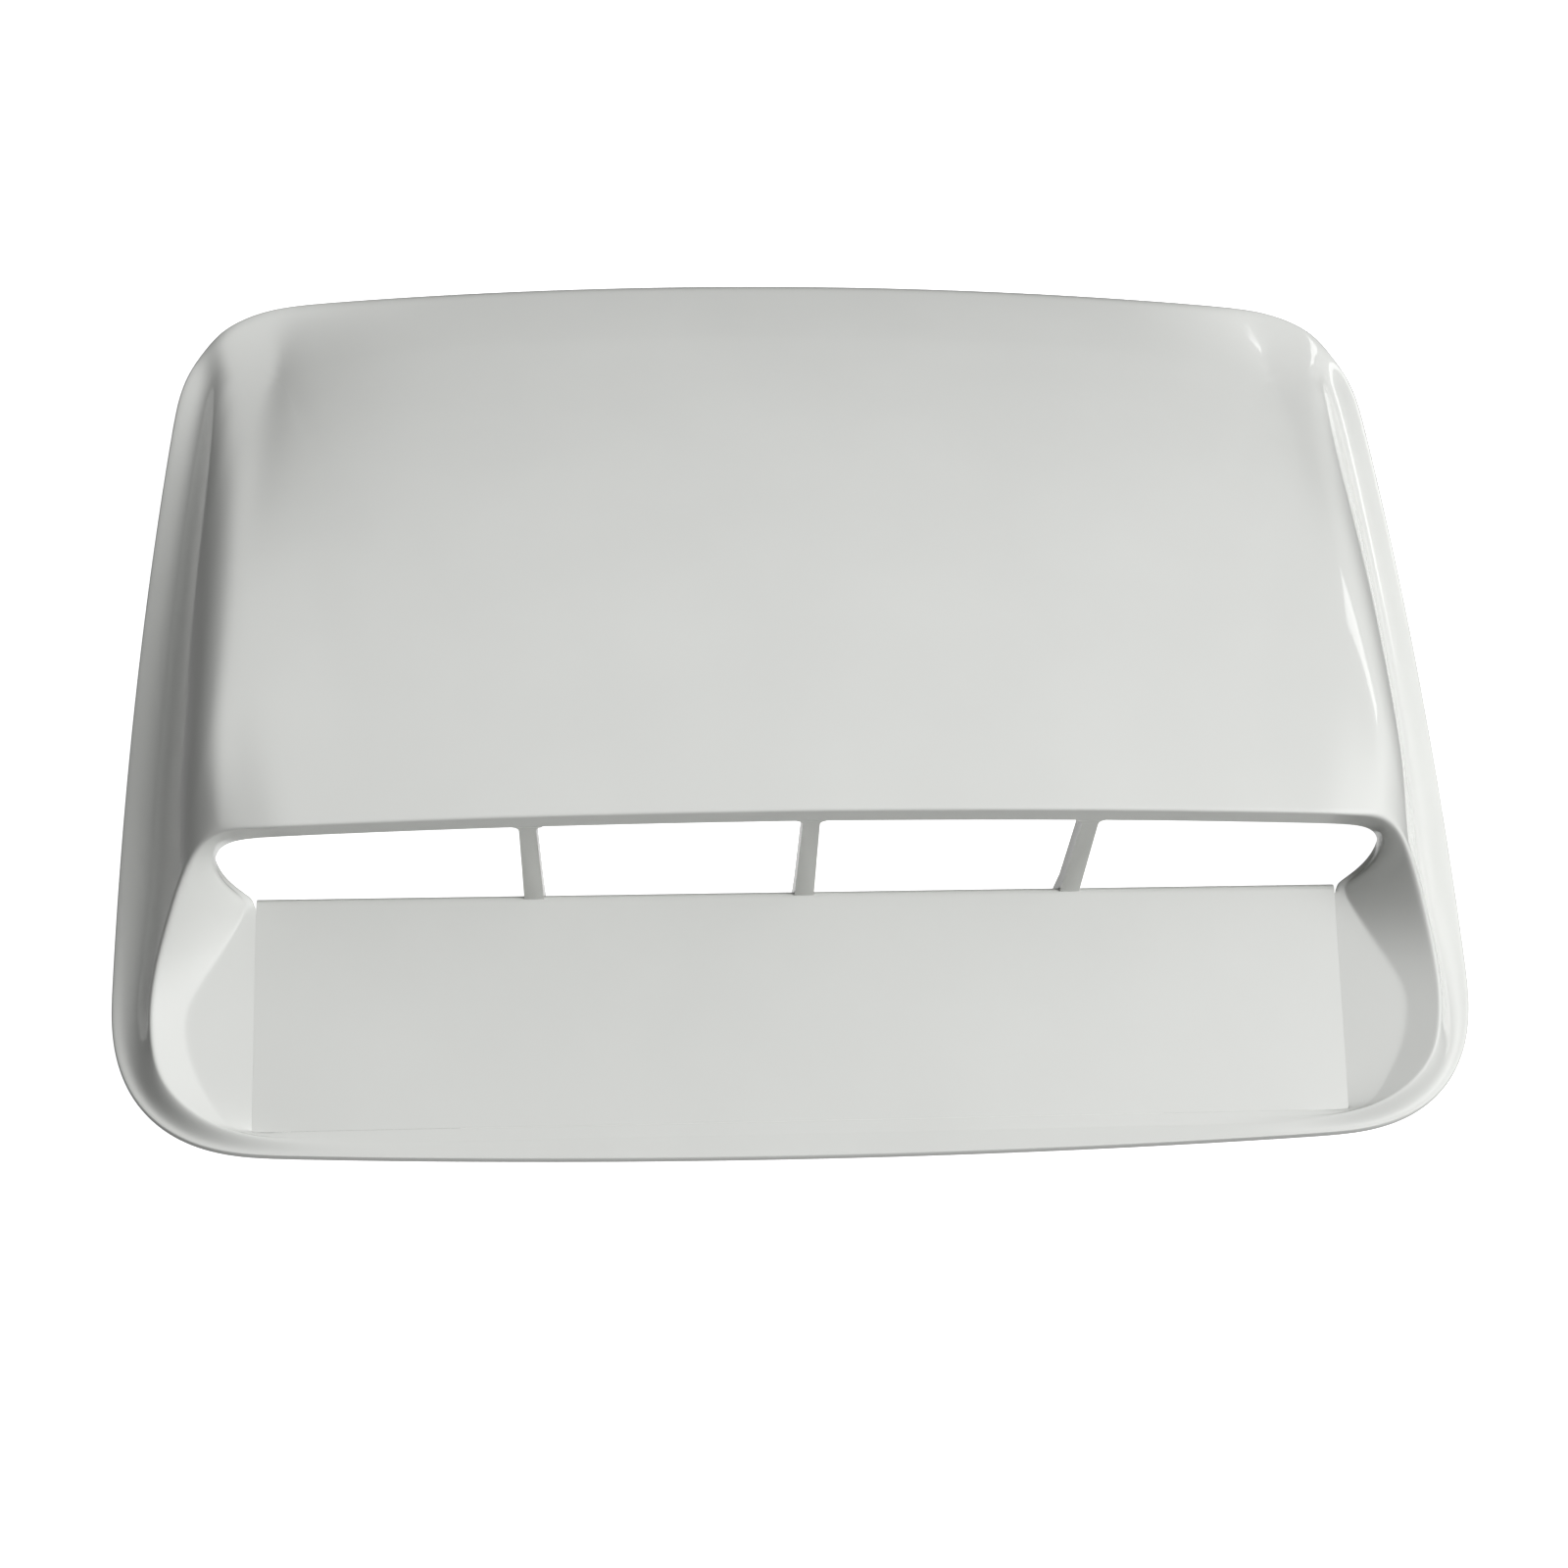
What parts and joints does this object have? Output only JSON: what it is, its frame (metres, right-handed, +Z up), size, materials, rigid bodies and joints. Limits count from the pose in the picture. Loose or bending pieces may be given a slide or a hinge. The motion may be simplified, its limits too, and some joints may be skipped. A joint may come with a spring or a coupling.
{
  "type": "roof vent cover",
  "caption": "Low scoop-type vent cover: a rounded tapering cowl over a ramped intake with upright fins in its slot, a stick-down flange and threaded fixings below.",
  "frame": {"origin": "centre of the bounding box at its base, on the plane of the tape liners' underside", "axes": "+Z up from the surface the cover is stuck to, the mouth and its ramp face -Y, the crown falls towards +Y, +X is to the right when looking from the mouth towards the rear"},
  "size_m": [0.3408, 0.255, 0.0569],
  "materials": {
    "shell_white": "glossy moulded white plastic",
    "floor_white": "glossy moulded white plastic",
    "fin_white": "glossy moulded white plastic",
    "foam_tape": "closed-cell acrylic foam, matt dark grey",
    "release_liner": "red release film with a slight sheen",
    "block_natural": "natural moulded plastic, satin",
    "insert_brass": "turned and knurled brass"
  },
  "bodies": {
    "root": {"cover_shell": "shell_white", "intake_floor": "floor_white", "fin_left": "fin_white", "fin_center": "fin_white", "fin_right": "fin_white", "tape_front": "foam_tape", "tape_rear": "foam_tape", "tape_left": "foam_tape", "tape_right": "foam_tape", "liner_front": "release_liner", "liner_rear": "release_liner", "liner_left": "release_liner", "liner_right": "release_liner", "mount_block_front_left": "block_natural", "mount_block_front_right": "block_natural", "mount_block_rear_left": "block_natural", "mount_block_rear_right": "block_natural", "threaded_inserts": "insert_brass"}
  },
  "joints": []
}
